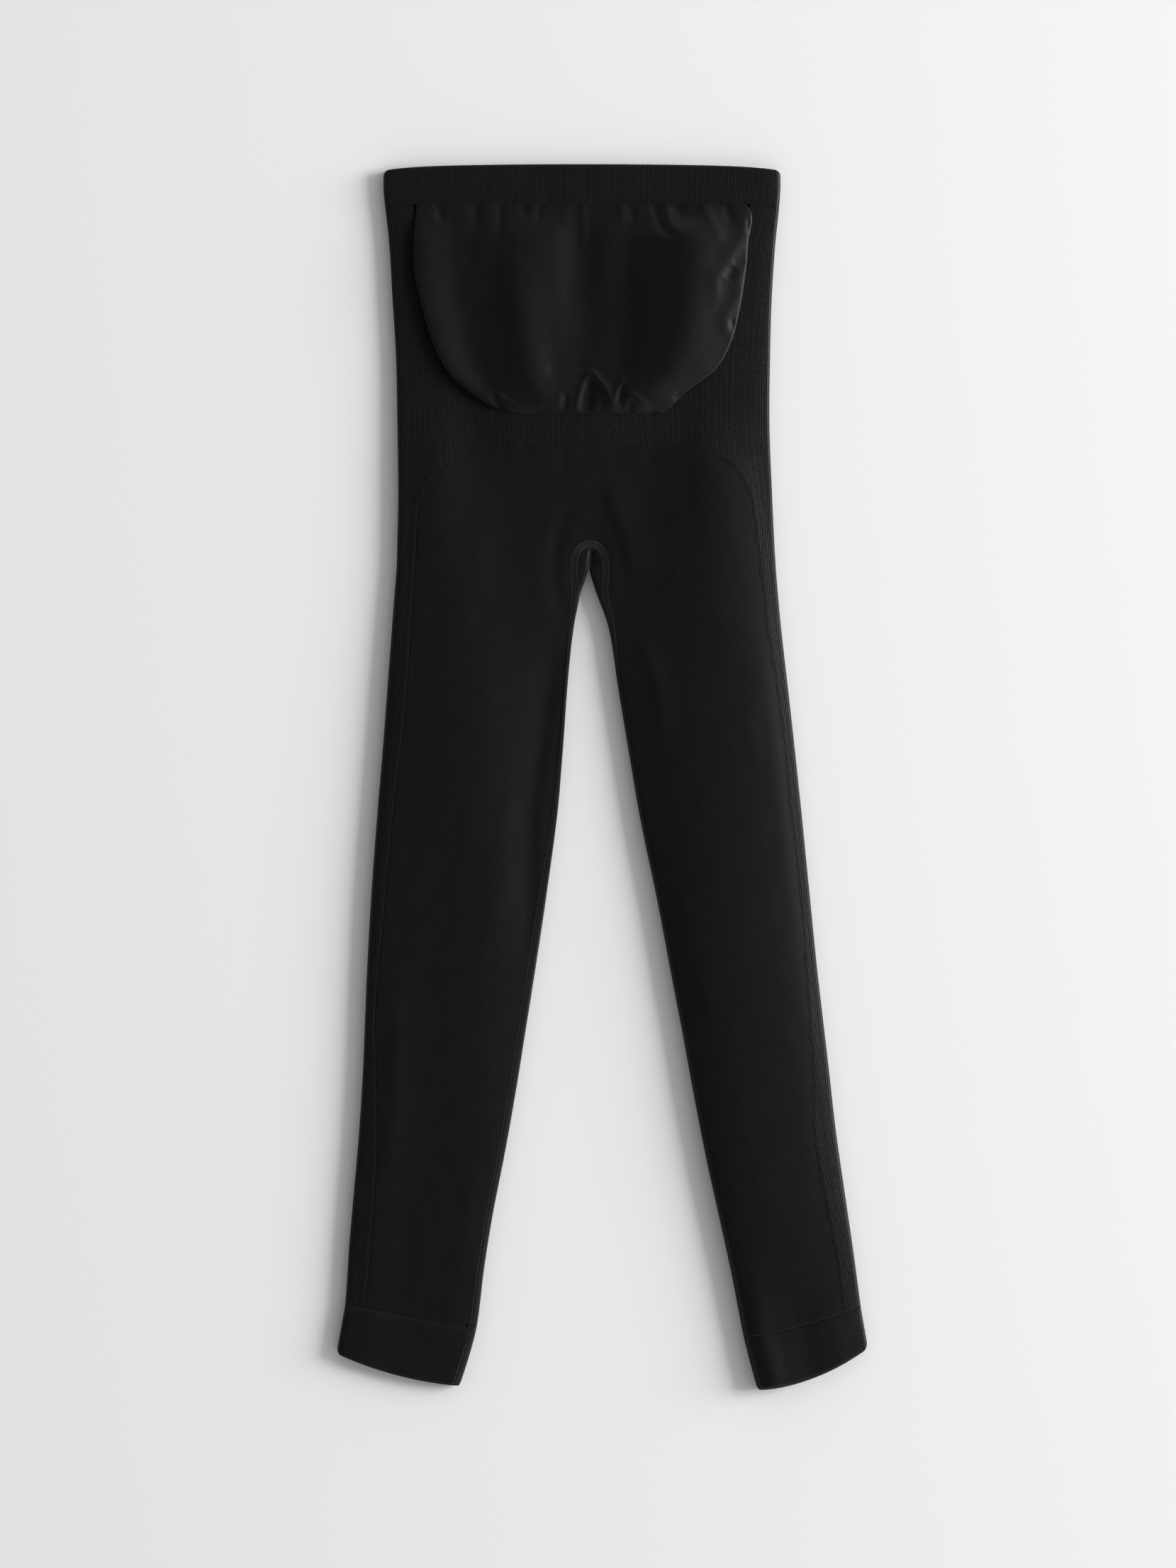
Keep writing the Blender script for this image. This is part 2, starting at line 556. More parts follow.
# soft folds of the front, as ridges (+) and troughs (-) along lines of (x, down)
creases = [
    # under the yoke line
    fold([(-60, 219), (-62, 232)], 3.5, -0.25),
    fold([(-31, 219), (-30, 236)], 3.5, -0.25),
    fold([(-14, 219), (-12, 234)], 3, -0.25),
    fold([(12, 219), (12, 236)], 3.5, -0.25),
    fold([(35, 219), (37, 234)], 3.5, -0.25),
    # round the crotch
    fold([(5, 252), (13, 276), (20, 297), (23, 316)], 5, 0.9, right=13),
    fold([(2, 290), (8, 299), (9.5, 314), (8, 331)], 3, 0.6, right=5),
    fold([(-28, 270), (-36, 296), (-38, 322), (-32, 345)], 5, -0.7),
    fold([(-7.4, 299), (-7, 306), (-8, 314)], 2.0, -1.6),
    # right leg
    fold([(30, 372), (42, 404), (47, 440)], 5, 0.8, right=9),
    fold([(119, 412), (114.5, 436), (119, 462)], 5.5, 0.35, right=7),
    fold([(60, 560), (72, 610), (84, 660)], 7, 0.5, right=12),
    # left leg: a trough beside the inseam, a ridge near the rib
    fold([(-38, 385), (-47, 449), (-54, 500), (-56, 545), (-58, 590)], 15, -1.2, right=5),
    fold([(-160, 640), (-160, 700), (-164, 770)], 7, 0.5),
    fold([(-100, 780), (-108, 850), (-116, 895)], 9, 0.4),
]


# the top edge is a fold: it rolls over in rollShare of the height, and is thinner with flatter ribs there
band = {"wall": 1.7, "stand": 0.35, "corner": 2.2, "crown": 2.2, "crownEnds": 2.8, "drop": 4.6,
        "centre": -15.7, "halfWidth": 153.9, "apart": 1.0, "rollShare": 0.06, "thinner": 0.45,
        "flatter": 0.75, "cornerFrom": 0.97, "cornerRun": 0.03}


def makeWaistband():
    heights = np.array([0, 0.012, 0.035, 0.08, 0.2, 0.4, 0.6, 0.8, 0.93, 1.0])[:, None]
    grids = []
    roll = np.sqrt(np.clip(1 - np.clip(1 - heights / band["rollShare"], 0, 1) ** 2, 0, 1))
    for front in (True, False):
        along = ribLines if front else ribLines[::-1]
        down = garment["bandHeight"] * heights + 0 * along
        x, edge = atWale(along, down)
        u = (x - band["centre"]) / band["halfWidth"]
        nearTop = (1 - np.clip(heights * 8, 0, 1)) ** 2
        pulled = np.sign(u) * band["corner"] * nearTop
        x = x - pulled * smooth((np.abs(u) - band["cornerFrom"]) / band["cornerRun"])
        crown = (band["crown"] * u**2 + band["crownEnds"] * u**8) * (1 - heights)
        crown = crown + band["drop"] * outermost(u) * heights
        z = skinHeight(edge, hipLift(x, down) + band["stand"] if front else None)
        middle = garment["foldRadius"] + band["apart"] * (1 if front else -1)
        z = middle + (z - middle) * (1 - band["thinner"] * (1 - roll))
        grids.append(grid(x, down + crown, z, u=along * rib["pitch"] + (0 if front else cutShift["ribBack"]),
                          v=down, wale=along, hold=1 - band["flatter"] * (1 - roll)))
    return ribbed(makeCloth("waistbandRib", grids, ribKnit, 0), wall=band["wall"])


waistbandRib = makeWaistband()
print("waistband ready")


# the field runs in under the pouch by tuck and up under the band by lap, and its outer ends bend down there
ribField = {"tuck": 3.0, "lap": 1.0, "drop": 4.6, "dropEnd": 64, "dropRun": 32, "centre": -16,
            "halfWidth": 152, "frontRows": 22, "backRows": 14}
pouchEnd = pouchLine["down"][-1]


def bentDown(x, down):
    u = (x - ribField["centre"]) / ribField["halfWidth"]
    nearBand = np.clip((ribField["dropEnd"] - down) / ribField["dropRun"], 0, 1)
    return down + nearBand * ribField["drop"] * outermost(u)


def makeRibHips():
    top, bottom, tuck = garment["bandHeight"] - ribField["lap"], garment["sideRibDown"], ribField["tuck"]
    downs = np.arange(garment["bandHeight"], bottom + 0.01, 0.5)[:, None]
    x, edge = atWale(ribLines, downs)
    hidden = (x > pouchLeft(downs) + tuck) & (x < pouchRight(downs) - tuck) & (downs < pouchEnd - tuck)
    covered = (x > yokeLeft(downs)) & (x < yokeRight(downs)) & (downs > garment["yokeDown"])
    starts = np.where(hidden.any(0), downs[len(downs) - 1 - hidden[::-1].argmax(0), 0], top)
    ends = np.where(covered.any(0), downs[covered.argmax(0), 0], bottom)
    down = starts + (ends - starts) * spread(0, 1, ribField["frontRows"])[:, None]
    x, edge = atWale(ribLines, down)
    down = bentDown(x, down)
    z = skinHeight(edge, hipLift(x, down))
    front = grid(x, down, z, u=ribLines * rib["pitch"], v=down, wale=ribLines)
    back = ribLines[::-1]
    down = spread(top, bottom, ribField["backRows"])[:, None] + 0 * back
    x, edge = atWale(back, down)
    behind = grid(x, bentDown(x, down), skinHeight(edge, None), u=back * rib["pitch"] + cutShift["ribBack"],
                  v=down, wale=back)
    return ribbed(makeCloth("ribHips", [front, behind], ribKnit, 0))


ribHips = makeRibHips()
print("rib hips ready")


cuffRow = 12    # the row of a leg's table where its cuff begins
# the groove where the cuff is joined on, and close rows of mesh round it
cuffJoint = {"depth": 0.95, "above": 0.9, "below": 5, "start": 1.3, "rows": np.array([-0.8, -0.4, 0, 1.0])}
# rows of mesh down a leg, and columns on the front, beside the seam and on the back
legCloth = {"wall": 1.0, "rows": 147, "front": 36, "seam": 2, "back": 14}
for leg in (legLeft, legRight):
    for column in ("outer", "inner", "slant", "rib", "bow", "seam"):
        leg[column + "At"] = track(leg, column)
    leg["cuffDown"] = leg["down"][cuffRow]
    leg["lift"] = liftLeft if leg is legLeft else liftRight
foldEdges = edgeOf(spread(0, foldArc, 5))


def legSpot(leg, down, reach, fromOuter, front):    # reach in mm along the section from one of its folds
    outer, inner = leg["outerAt"](down), leg["innerAt"](down)
    width = np.abs(inner - outer)
    share = reach / width if fromOuter else 1 - reach / width
    x = outer + (inner - outer) * share
    low = down + leg["slantAt"](down) * share + leg["bowAt"](down) * 4 * share * (1 - share)
    edge = np.clip(np.minimum(share, 1 - share) * width, 0, None)
    past = down - leg["cuffDown"]
    groove = cuffJoint["depth"] * smooth(1 + past / cuffJoint["above"])
    groove = groove * (1 - smooth(past / cuffJoint["below"]))
    if not front:
        return x, low, skinHeight(edge, None)
    return x, low, skinHeight(edge, leg["lift"](share, low) + creased(x, low, creases) - groove)


def legRows(leg, count):
    even = spread(garment["legDown"], leg["cuffDown"] - cuffJoint["start"], count)
    return np.append(even, leg["cuffDown"] + cuffJoint["rows"])


def sectionGrid(leg, downs, steps):    # steps: (reach, fromOuter, front) in order round the section
    parts = [legSpot(leg, downs, reach, fromOuter, front) for reach, fromOuter, front in steps]
    x, low, z = (np.stack([np.broadcast_to(part[i], downs.shape) for part in parts], 1) for i in range(3))
    run = np.hypot(np.diff(x, axis=1), np.diff(z, axis=1))
    u = np.concatenate([np.zeros((len(x), 1)), np.cumsum(run, 1)], 1)
    return x, low, z, u


def jerseyLeg(leg, side):
    downs = legRows(leg, legCloth["rows"])
    ribReach, flange = leg["ribAt"](downs), leg["flange"]
    width = np.abs(leg["innerAt"](downs) - leg["outerAt"](downs))
    steps = [(r, True, True) for r in spread(ribReach, width - flange, legCloth["front"]).T]
    steps += [(r, False, True) for r in spread(flange, foldEdges[-1], legCloth["seam"])[1:]]
    steps += [(e, False, True) for e in foldEdges[::-1][1:]]
    steps += [(e, False, False) for e in foldEdges[1:]]
    steps += [(r, False, False) for r in spread(foldEdges[-1], flange, legCloth["seam"])[1:]]
    steps += [(r, True, False) for r in spread(width - flange, ribReach, legCloth["back"]).T[1:]]
    if side == "right":
        steps = steps[::-1]
    x, low, z, u = sectionGrid(leg, downs, steps)
    return grid(x, low, z, u=u + (0 if side == "left" else cutShift["rightLeg"]), v=low)


archLine = {key: np.array(value, float) for key, value in arch.items()}


def slitDistance(x, down):
    points = list(zip(arch["foldX"], arch["foldDown"]))
    best = np.full(np.shape(x), 1e9)
    for a, b in zip(points, points[1:]):
        runX, runDown = b[0] - a[0], b[1] - a[1]
        t = np.clip(((x - a[0]) * runX + (down - a[1]) * runDown) / (runX**2 + runDown**2), 0, 1)
        best = np.minimum(best, np.hypot(x - a[0] - runX * t, down - a[1] - runDown * t))
    return best


def hipSkin(x, down, front):
    edge = np.minimum(np.minimum(x - hipLeft(down), hipRight(down) - x), slitDistance(x, down))
    return skinHeight(np.clip(edge, 0, None), hipLift(x, down) if front else None)


crotchRows = [293.8, 294.3, 295, 296, 297.5, 299, 300.5, 303, 306, 310, 314, 318.5, 323, 327.5, 332]


def jerseyHips(front):
    start = garment["yokeDown"] if front else garment["sideRibDown"]
    downs = np.concatenate([np.arange(start, 293, 2.4), crotchRows])[:, None]
    grids = []
    count = legCloth["front" if front else "back"]
    for side in ("left", "right"):
        half = slice(0, 7) if side == "left" else slice(6, 13)
        seamX, seamDown = archLine["seamX"][half], archLine["seamDown"][half]
        order = np.argsort(seamDown)
        middle = np.interp(downs[:, 0], seamDown[order], seamX[order], left=garment["crotchX"])[:, None]
        outer = (yokeLeft if side == "left" else yokeRight)(downs)
        ends = (outer, middle) if side == "left" else (middle, outer)
        x = spread(ends[0][:, 0], ends[1][:, 0], count)
        down = downs + 0 * x
        if not front:
            x, down = x[:, ::-1], down[:, ::-1]
        grids.append(grid(x, down, hipSkin(x, down, front), u=x + (0 if front else cutShift["hipsBack"]),
                          v=down))
    return grids


def makeJerseyLegs():
    grids = jerseyHips(True) + jerseyHips(False)
    grids += [jerseyLeg(legLeft, "left"), jerseyLeg(legRight, "right")]
    return makeCloth("jerseyLegs", grids, jersey, legCloth["wall"])


jerseyLegs = makeJerseyLegs()
print("jersey ready")


# the gusset laps under the seam and lies a little lower towards it
gusset = {"wall": 0.9, "lap": 1.0, "sink": 0.25, "sinkFrom": 4, "sinkRun": 4, "stations": 49}


def makeGusset():
    stations = np.linspace(0, 12, gusset["stations"])
    at = {key: np.interp(stations, np.arange(13), value)[:, None] for key, value in archLine.items()}
    run = np.hypot(at["seamX"] - at["foldX"], at["seamDown"] - at["foldDown"])
    wayX, wayDown = (at["seamX"] - at["foldX"]) / run, (at["seamDown"] - at["foldDown"]) / run
    reaches = [run + gusset["lap"]]
    reaches += [foldEdges[-1] + (run - foldEdges[-1]) * share for share in (0.75, 0.5, 0.25)]
    steps = [(r, True) for r in reaches] + [(e + 0 * run, True) for e in foldEdges[::-1]]
    steps += [(e + 0 * run, False) for e in foldEdges[1:]] + [(r, False) for r in reaches[::-1]]
    cols = []
    for r, front in steps:
        x, down = at["foldX"] + wayX * r, at["foldDown"] + wayDown * r
        sink = gusset["sink"] * (1 if front else -1) * smooth((r - gusset["sinkFrom"]) / gusset["sinkRun"])
        cols.append((x, down, skinHeight(r, hipLift(x, down) if front else None) - sink))
    x, down, z = (np.concatenate(values, 1)[::-1] for values in zip(*cols))
    whole = grid(x, down, z, u=x + cutShift["gusset"], v=down)
    return makeCloth("gussetJersey", [whole], jersey, gusset["wall"])


gussetJersey = makeGusset()
print("gusset ready")


# the edge next to the jersey lies lower by sink, over sinkRun
sideRib = {"sink": 0.25, "sinkRun": 3, "rows": 88}
hipRows = np.concatenate([[226, 226.7, 227.5, 228.5, 229.7, 231], np.arange(233, 262, 2.4),
                          np.arange(264, 333, 4)])


def makeSideRib(name, side, leg):
    hipEdge, hipYoke = (hipLeft, yokeLeft) if side == "left" else (hipRight, yokeRight)
    inward = 1 if side == "left" else -1
    pitch = frontArc(garment["sideRibDown"]) / rib["count"]
    grids = []
    for isLeg, downs in ((False, hipRows), (True, legRows(leg, sideRib["rows"]))):
        width = leg["ribAt"](downs) if isLeg else np.abs(hipYoke(downs) - hipEdge(downs))
        whole = arcOf(width)[:, None]
        step = pitch / rib["perRib"]
        arc = np.minimum(np.arange(math.ceil(whole.max() / step) + 1) * step, whole)
        reach = edgeOf(arc)
        for front in (False, True):
            if isLeg:
                cols = [legSpot(leg, downs, reach[:, i], True, front) for i in range(arc.shape[1])]
                x, low, z = (np.stack([col[i] for col in cols], 1) for i in range(3))
            else:
                low = downs[:, None] + 0 * reach
                x = hipEdge(low) + inward * reach
                z = hipSkin(x, low, front)
            sink = sideRib["sink"] * smooth((arc - whole + sideRib["sinkRun"]) / sideRib["sinkRun"])
            z = z - sink if front else z + sink
            part = grid(x, low, z, u=arc + (0 if front else cutShift["sideBack"]), v=low, wale=arc / pitch)
            if (side == "left") != front:
                part = {key: value[:, ::-1] for key, value in part.items()}
            grids.append(part)
    return ribbed(makeCloth(name, grids, ribKnit, 0))


ribSideLeft = makeSideRib("ribSideLeft", "left", legLeft)
ribSideRight = makeSideRib("ribSideRight", "right", legRight)
print("side ribs ready")


# the hem is a fold that gets thinner over thinRun; corner rounds its ends, flank is flat cloth at the folds
cuff = {"wall": 1.6, "pitch": 1.35, "stand": 0.4, "standRun": 5, "hem": 5, "thinner": 0.3, "thinRun": 3,
        "corner": 4.0, "innerCorner": 0.3, "flank": 5}


def cuffRaise(leg, down):    # the cuff's front stands a little above the leg
    return cuff["stand"] * smooth((down - leg["cuffDown"]) / cuff["standRun"])


def makeCuff(name, side, leg):
    end, hem, flank = leg["down"][-1], cuff["hem"], cuff["flank"]
    rounding = hem * np.sin(spread(0.15, 1, 8) * math.pi / 2)
    downs = np.concatenate([spread(leg["cuffDown"], end - hem, 14), end - hem + rounding])
    width = np.abs(leg["innerAt"](downs) - leg["outerAt"](downs))
    nearEnd = np.clip((downs - end + hem) / hem, 0, 1)
    corner = cuff["corner"] * (1 - np.sqrt(1 - nearEnd**2 * 0.98))
    inner = corner * cuff["innerCorner"]
    steps = [(e + corner, True, True) for e in foldEdges]
    steps += [(r, True, True) for r in spread(corner + flank, width - flank - inner, 30).T]
    steps += [(e + inner, False, True) for e in foldEdges[::-1]]
    steps += [(e + inner, False, False) for e in foldEdges[1:]]
    steps += [(r, True, False) for r in spread(width - flank - inner, corner + flank, 14).T]
    steps += [(e + corner, True, False) for e in foldEdges[::-1]]
    if side == "right":
        steps = steps[::-1]
    x, low, z, u = sectionGrid(leg, downs, steps)
    middle = garment["foldRadius"]
    nearHem = np.clip((downs - end + cuff["thinRun"]) / cuff["thinRun"], 0, 1)
    z = middle + (z - middle) * (1 - cuff["thinner"] * nearHem**2)[:, None]
    z = np.where(z > middle + 1, z + cuffRaise(leg, downs)[:, None], z)
    return makeCloth(name, [grid(x, low, z, u=u, v=low, wale=u / cuff["pitch"])], cuffKnit, cuff["wall"])


cuffLeft = makeCuff("cuffLeft", "left", legLeft)
cuffRight = makeCuff("cuffRight", "right", legRight)
print("cuffs ready")


# rise is how far in from each seam the cloth reaches its height, bulge how far it leans out over the seam;
# pairs are where a change down the pouch starts and how far it runs
pouch = {"wall": 0.9, "gap": 0.25, "seamDown": 31.0, "rise": {"left": 2.8, "right": 1.3, "bottom": 10},
         "crease": 0.42, "atBand": 0.12, "grows": (31, 30), "bulge": 1.4, "bulgeBelow": 0.7,
         "hangs": (34, 20), "hangsRight": (110, 40), "narrows": (110, 85), "narrower": 0.4}
# how high the pouch stands over the cloth under it, as in the tables above
pouchShape = {
    "share": [0, 0.025, 0.12, 0.215, 0.31, 0.41, 0.505, 0.575, 0.64, 0.73, 0.85, 0.935, 1],
    "rows": {
        31: [3.0, 3.3, 1.5, 1.9, 3.9, 3.5, 0.5, 2.4, 2.4, 4.4, 7.1, 3.9, 1.0],
        59: [3.2, 3.5, 1.4, 1.9, 4.4, 3.6, 0.4, 2.4, 2.4, 5.2, 8.4, 4.4, 1.0],
        110: [4.0, 3.9, 1.1, 2.4, 6.0, 3.4, 0.4, 1.3, 1.9, 6.0, 9.2, 5.2, 1.6],
        155: [4.4, 4.2, 1.8, 3.4, 5.8, 2.8, 1.5, 2.0, 2.6, 6.0, 8.6, 5.6, 2.0],
        180: [3.6, 3.6, 2.6, 3.2, 4.0, 2.8, 2.0, 2.6, 3.2, 4.6, 5.4, 3.8, 1.6],
        194.5: [1.8, 1.8, 1.8, 1.8, 2.0, 1.8, 1.6, 1.8, 1.8, 2.0, 2.0, 1.8, 1.4],
    },
}
gather, slack = (0.1, 0.6), (0.3, 0.5)    # how such folds fade at their start and end
pouchCreases = [
    # gathers under the band
    fold([(-126, 30), (-125, 44)], 3.2, -1.9, fade=gather),
    fold([(-108, 30), (-106, 58)], 6, 1.0, fade=gather),
    fold([(-98, 30), (-97, 48)], 3, -0.9, fade=gather),
    fold([(-88, 30), (-91, 84)], 8, 1.2, fade=gather),
    fold([(-78.5, 30), (-79, 56)], 2.6, -1.0, fade=gather),
    fold([(-61, 30), (-59, 42)], 3, -1.2, fade=gather),
    fold([(-47, 30), (-50, 44)], 2.8, -1.2, fade=gather),
    fold([(-28, 30), (-29, 46)], 3.4, 0.6, fade=gather),
    fold([(-15, 30), (-13.5, 66)], 3.2, 1.1, fade=gather),
    fold([(15, 30), (15.5, 50)], 2.6, 0.8, fade=gather),
    fold([(22, 30), (24, 44)], 2.8, -1.2, fade=gather),
    fold([(40, 32), (45, 48), (55, 58)], 2.8, -1.6, fade=slack),
    fold([(49, 31), (53, 46), (60, 53)], 2.8, 1.2, fade=slack),
    fold([(57, 31), (62, 42), (73, 40)], 4.4, -1.6, fade=slack),
    fold([(78, 31), (85, 46), (92, 60)], 5, 1.6, fade=slack),
    fold([(96, 32), (99, 46)], 3.4, -1.4, fade=gather),
    # slack cloth at the right: ridges along its edge and a small loop at the end
    fold([(109.2, 38), (111.2, 50), (107, 60), (99.6, 71.5), (92.1, 84.2), (88.3, 90.2), (88, 104)], 7, 2.0,
         right=4.4, fade=(0.15, 0.25)),
    fold([(113, 43), (113.2, 54)], 1.6, -1.6),
    fold([(101.8, 76), (110.8, 76)], 2.0, -1.2),
    fold([(101, 81), (97.3, 89.4)], 4.4, -1.7),
    fold([(110, 82.6), (106.3, 88), (106.3, 95.4), (105.2, 103), (102.5, 109.6), (98, 115.7), (95.8, 121.7),
          (96.5, 128.4), (99.5, 134.4)], 5.2, 1.5, right=3.8, fade=(0.15, 0.3)),
    fold([(100.5, 121), (101.5, 129)], 2.4, -1.5),
    fold([(104, 127), (102.6, 136), (97, 149), (88, 161), (66, 177)], 4.6, 0.8),
    # pleats over the lower seam
    fold([(-42, 161), (-26, 158), (-12, 156)], 3.4, -1.6),
    fold([(-9.2, 160.5), (-15, 170), (-19, 184), (-20, 194)], 2.6, 1.8, fade=(0.1, 0.2)),
    fold([(-8.5, 160), (-3, 167), (4, 176), (7, 186), (14, 190)], 2.6, 2.4, fade=(0.1, 0.2)),
    fold([(-7.5, 168), (-9, 180), (-11, 192)], 7.5, -3.6, right=3.6, fade=(0.15, 0.2)),
    fold([(2, 182), (-1, 192)], 4.0, -1.8),
    fold([(17, 166), (11, 176), (9.5, 184)], 2.4, 1.8, fade=(0.15, 0.2)),
    fold([(16.5, 171), (15, 180), (14.5, 187)], 5, -2.6, right=2.4),
    fold([(20.5, 178), (28, 183), (36, 191)], 2.6, 2.4, fade=(0.15, 0.2)),
    fold([(22, 184), (23, 193)], 5, -2.8, right=2.6),
    fold([(-27.5, 179), (-29.5, 193)], 4.4, -1.9, right=2),
    fold([(-32, 178), (-34, 190)], 2.8, 1.0),
    fold([(-43.5, 187), (-43, 194)], 4.4, -1.6, right=2),
    fold([(-81, 179), (-70, 186), (-56, 192)], 2.6, 2.0, fade=(0.1, 0.25)),
    fold([(-84, 182), (-76, 190)], 3.0, -2.8),
    fold([(61, 178), (56, 182)], 3.0, -1.6),
]


pouchBody = layOf(pouchShape)


def since(down, start, run):    # 0 down to start, 1 from a run further on
    return smooth((down - start) / run)


def pouchLift(x, down, near):    # near is 0 on the seam and 1 where the cloth is clear of it, for each side
    left, right = pouchLeft(down), pouchRight(down)
    rounded = (1 - (1 - near["left"]) ** 2.2) ** 0.5 * np.sin(near["right"] * math.pi / 2)
    rounded = rounded * smooth(near["bottom"]) ** 0.8
    body = pouchBody((x - left) / (right - left), down) * rounded
    body = body * (pouch["atBand"] + (1 - pouch["atBand"]) * since(down, *pouch["grows"]))
    clear = smooth(np.minimum.reduce(list(near.values())) * 1.5)
    return body + creased(x, down, pouchCreases) * pouch["crease"] * clear


def bulging(off, reach):    # the cloth leans out over its seam, then comes back in
    t = np.clip(off / reach, 0, 1)
    return pouch["bulge"] * np.sin(math.pi * t) * (1 - 0.3 * t)


def makePouch():    # rows and columns lie closer at the edges
    rows = np.concatenate([[0, 0.003, 0.007, 0.012, 0.019, 0.028], np.linspace(0.038, 0.955, 112),
                           [0.964, 0.972, 0.979, 0.985, 0.99, 0.994, 0.997, 1.0]])[:, None]
    columns = np.concatenate([[0, 0.0015, 0.0035, 0.006, 0.009, 0.0125, 0.0165, 0.021],
                              np.linspace(0.026, 0.974, 178),
                              [0.979, 0.9835, 0.9875, 0.991, 0.994, 0.9965, 0.9985, 1.0]])
    down = pouch["seamDown"] + (pouchEnd - pouch["seamDown"]) * rows + 0 * columns
    left, right = pouchLeft(down), pouchRight(down)
    x = left + (right - left) * columns
    start, run = pouch["narrows"]    # the outline runs in towards the bottom
    lean = 1 - pouch["narrower"] * np.clip((down - start) / run, 0, 1)
    off = {"left": (x - left) * lean, "right": (right - x) * lean, "bottom": pouchEnd - down}
    rise = pouch["rise"]
    near = {side: np.clip(off[side] / rise[side], 0, 1) for side in off}
    hipEdge = np.minimum(x - hipLeft(down), hipRight(down) - x)
    under = skinHeight(hipEdge, hipLift(x, down)) + pouch["gap"]
    z = np.maximum(under + pouchLift(x, down, near), under)
    bulge = {side: bulging(off[side], rise[side]) for side in off}
    hang = since(down, *pouch["hangs"])
    x = x - bulge["left"] * hang + bulge["right"] * hang * since(down, *pouch["hangsRight"])
    down = down + bulge["bottom"] * pouch["bulgeBelow"]
    return makeCloth("bellyPouch", [grid(x, down, z, u=x, v=down)], jersey, pouch["wall"])


bellyPouch = makePouch()
print("pouch ready")


# threads over three columns, along both inseams and round the gusset
flatlock = {"pitch": 1.5, "columns": 3, "apart": 2.15, "width": 1.85, "thread": 0.46, "rise": 0.1,
            "flat": 0.5, "smallest": 0.97, "wander": 0.06, "hemGap": 0.6, "legStart": 336, "legSpots": 260,
            "archSpots": 60}


def makeStitch():    # one repeat of a column: a thread out and a thread back
    verts, faces = [], []
    half, pitch = flatlock["width"] / 2, flatlock["pitch"]
    for start, end, x0, x1 in ((-half, half, 0.0, 0.5), (half, -half, 0.5, 1.0)):
        base = len(verts)
        run = Vector(((x1 - x0) * pitch, end - start, 0)).normalized()
        across, up = Vector((-run.y, run.x, 0)), Vector((0, 0, 1))
        for i in range(4):
            t = i / 3
            centre = Vector(((x0 + (x1 - x0) * t - 0.5) * pitch, start + (end - start) * t,
                             flatlock["rise"] * math.sin(math.pi * t)))
            for corner in range(3):
                turn = math.radians(90 + 120 * corner)
                out = across * math.cos(turn) + up * flatlock["flat"] * math.sin(turn)
                verts.append((centre + out * flatlock["thread"]) * mm)
        for i in range(3):
            for corner in range(3):
                here, after = base + i * 3 + corner, base + i * 3 + (corner + 1) % 3
                faces.append((here, after, after + 3, here + 3))
        faces += [(base, base + 2, base + 1), (base + 9, base + 10, base + 11)]
    mesh = bpy.data.meshes.new("stitch")
    mesh.from_pydata([tuple(v) for v in verts], [], faces)
    shape = bmesh.new()
    shape.from_mesh(mesh)
    bmesh.ops.recalc_face_normals(shape, faces=shape.faces)
    shape.to_mesh(mesh)
    shape.free()
    return addObject("stitch", mesh)


def seamPath(aside):    # places and outward directions of a column, hem to hem over the crotch
    spots, outs = [], []
    r = garment["foldRadius"]

    def legRun(leg, side, downs):
        inward = -1 if side == "left" else 1
        for down in downs:
            arc = float(leg["seamAt"](down)) + aside
            x, low, z = (float(v) for v in legSpot(leg, np.array(down), edgeOf(abs(arc)), False, arc >= 0))
            if z > r + 1:
                z += float(cuffRaise(leg, down))
            turn = max(-math.pi / 2, min(math.pi / 2, arc / r))
            spots.append((x, low, z))
            outs.append((-inward * math.cos(turn) if abs(arc) < foldArc else 0, 0, math.sin(turn)))

    start, hemGap, count = flatlock["legStart"], flatlock["hemGap"], flatlock["legSpots"]
    legRun(legLeft, "left", spread(legLeft["down"][-1] - hemGap, start, count))
    for s in np.linspace(0.4, 11.6, flatlock["archSpots"]):
        foldX, foldDown, x, low = (float(np.interp(s, np.arange(13), archLine[key]))
                                   for key in ("foldX", "foldDown", "seamX", "seamDown"))
        run = math.hypot(x - foldX, low - foldDown)
        x, low = x + (x - foldX) / run * aside, low + (low - foldDown) / run * aside
        spots.append((x, low, float(hipSkin(np.array(x), np.array(low), True))))
        outs.append((0, 0, 1))
    legRun(legRight, "right", spread(start, legRight["down"][-1] - hemGap, count))
    spots, outs = np.array(spots), np.array(outs)
    weights = np.hanning(9) / np.hanning(9).sum()    # evens out the joins between the runs
    for values in (spots, outs):
        for i in range(3):
            padded = np.concatenate([np.full(4, values[0, i]), values[:, i], np.full(4, values[-1, i])])
            values[:, i] = np.convolve(padded, weights, "valid")
    return spots, outs


